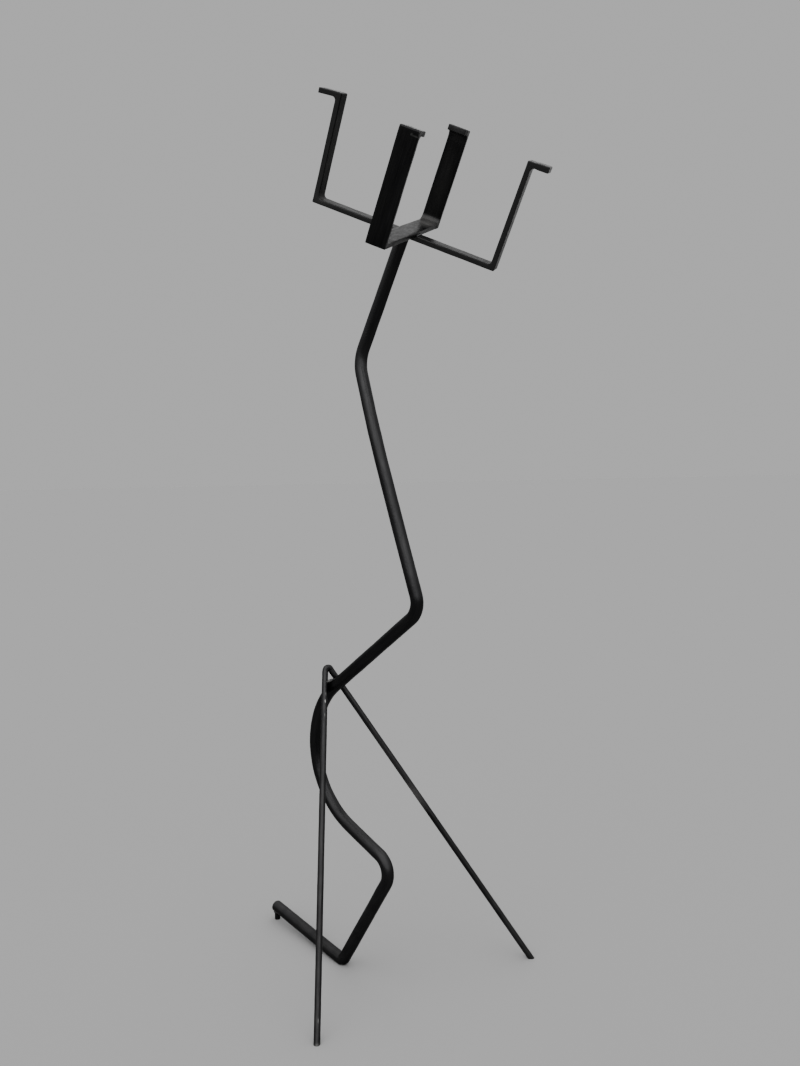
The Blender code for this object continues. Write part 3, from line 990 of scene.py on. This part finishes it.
# ------------------------------------------------------------------ the figure
def weld_runs():
    """Each bead's name, places, radius and slot. Every joint is welded: the leg to the body, the
    body to the head, the head's bars to each other and the peg to the toe."""
    thigh, hip = BODY_BENDS[2][0], BODY_BENDS[3][0]
    touch, across = crossing(HAIRPIN_CORNER, SIDE_FOOT, thigh, hip, LEG_DIAMETER / 2)
    yield ("side_leg_weld", ring_run(touch, across, SIDE_LEG_RING, BEAD_PACE), SIDE_LEG_BEAD,
           "blackened_thin_bar")
    for name, start, end, bead in HAIRPIN_BEADS:
        yield name, line_run(start, end, HAIRPIN_PACE), bead, "blackened_thin_bar"
    neck_ring = ring_run(
        NECK_END - HEAD_UP * NECK_BEAD_DOWN, HEAD_UP, BODY_DIAMETER / 2 + NECK_BEAD_OUT, BEAD_PACE)
    yield "neck_weld", neck_ring, NECK_BEAD, "blackened_round_bar"
    stop = FLAT_WIDTH / 2 - EDGE_BEAD_STOP
    for index, side in enumerate((-1, 1)):
        edge = side * (FLAT_WIDTH / 2 + EDGE_BEAD_OUT)
        over = line_run(
            HEAD @ Vector((edge, -stop, CROSSING_RISE)),
            HEAD @ Vector((edge, stop, CROSSING_RISE)), BEAD_PACE)
        under = line_run(
            HEAD @ Vector((-stop, edge, UNDER_RISE)),
            HEAD @ Vector((stop, edge, UNDER_RISE)), BEAD_PACE)
        yield "crossing_weld_%d" % index, over, CROSSING_BEAD, "blackened_flat_bar"
        yield "under_weld_%d" % index, under, UNDER_BEAD, "blackened_flat_bar"
    peg_top = peg_foot() + Vector((0, 0, TOE.z - BODY_DIAMETER / 2 - PEG_BEAD_DOWN))
    peg_ring = ring_run(
        peg_top, Vector((0, 0, 1)), LEG_DIAMETER / 2 + PEG_BEAD_OUT, PEG_PACE)
    yield "peg_weld", peg_ring, PEG_BEAD, "blackened_peg"


def make_figure():
    finish = make_finishes()
    body = forge_body_bar()
    dress(body, finish["body"], "body_bar")
    leg = forge_leg_bar()
    dress(leg, finish["leg"], "leg_bar")
    peg = forge_toe_peg()
    dress(peg, finish["peg"], "toe_peg")
    front_bar = forge_flat_bar("forged_front_bar", FRONT_BAR, quarter_turn=True)
    dress(front_bar, finish["front_bar"], "head_front_bar", FLAT_SMOOTHING)
    side_bar = forge_flat_bar("forged_side_bar", SIDE_BAR, quarter_turn=False)
    dress(side_bar, finish["side_bar"], "head_side_bar", FLAT_SMOOTHING)
    for name, places, bead, slot in weld_runs():
        run = lay_bead(name, places, bead)
        dress(run, finish["weld"])


# ------------------------------------------------------------------ the studio
def make_light_tent():
    """A pale tent round the figure, with the soft light high in front and overhead."""
    world = bpy.data.worlds.new("light_tent")
    bpy.context.scene.world = world
    world.use_nodes = True
    tree = world.node_tree
    tree.nodes.clear()
    toward = node(tree, "ShaderNodeTexCoord", (-1200, 0)).outputs["Generated"]
    split = node(tree, "ShaderNodeSeparateXYZ", (-1000, 0))
    tree.links.new(toward, split.inputs["Vector"])
    to_front = dot_product(tree, (-1000, -200), toward, LIGHT_CENTRE)
    to_back = dot_product(tree, (-1000, -400), toward, BACK_CENTRE)
    high = ramp(tree, (-750, 200), split.outputs["Z"], 0.04, 0.34)
    front = ramp(tree, (-750, 0), to_front, 0.40, 0.97)
    overhead = ramp(tree, (-750, -200), split.outputs["Z"], 0.55, 0.98)
    back = ramp(tree, (-750, -400), to_back, 0.55, 0.98)
    softbox = work_out(tree, (-500, 100), "MULTIPLY", high, front)
    lights = ((softbox, FRONT_LIGHT), (high, SIDE_LIGHT), (overhead, TOP_LIGHT), (back, BACK_LIGHT))
    level = PAPER
    for index, (part, strength) in enumerate(lights):
        level = work_out(
            tree, (-250 + 200 * index, 0), "MULTIPLY_ADD", part, strength, level)
    lit = node(tree, "ShaderNodeBackground", (600, 100))
    tree.links.new(level, lit.inputs["Strength"])
    lit.inputs["Color"].default_value = (1, 1, 1, 1)
    plain = node(tree, "ShaderNodeBackground", (600, -100))
    plain.inputs["Color"].default_value = (PAPER, PAPER, PAPER, 1)
    seen = node(tree, "ShaderNodeLightPath", (600, 350))
    pick = node(tree, "ShaderNodeMixShader", (850, 0))
    tree.links.new(seen.outputs["Is Camera Ray"], pick.inputs["Fac"])
    tree.links.new(lit.outputs["Background"], pick.inputs[1])
    tree.links.new(plain.outputs["Background"], pick.inputs[2])
    out = node(tree, "ShaderNodeOutputWorld", (1100, 0))
    tree.links.new(pick.outputs["Shader"], out.inputs["Surface"])


def lay_floor():
    let_go()
    bpy.ops.mesh.primitive_plane_add(size=FLOOR_SIZE, location=(0, 0, 0))
    floor = bpy.context.object
    floor.name = "floor"
    paint = bpy.data.materials.new("pale_floor")
    paint.use_nodes = True
    coat = paint.node_tree.nodes["Principled BSDF"].inputs
    coat["Base Color"].default_value = (FLOOR_GREY, FLOOR_GREY, FLOOR_GREY, 1)
    coat["Roughness"].default_value = 1.0
    coat["Specular IOR Level"].default_value = 0.0
    floor.data.materials.append(paint)


def set_camera():
    bpy.ops.object.camera_add(location=CAMERA_PLACE)
    camera = bpy.context.object
    camera.rotation_euler = CAMERA_TURN
    camera.data.lens = LENS
    camera.data.sensor_width = SENSOR_WIDTH
    camera.data.sensor_fit = "HORIZONTAL"
    bpy.context.scene.camera = camera


make_figure()
lay_floor()
make_light_tent()
set_camera()
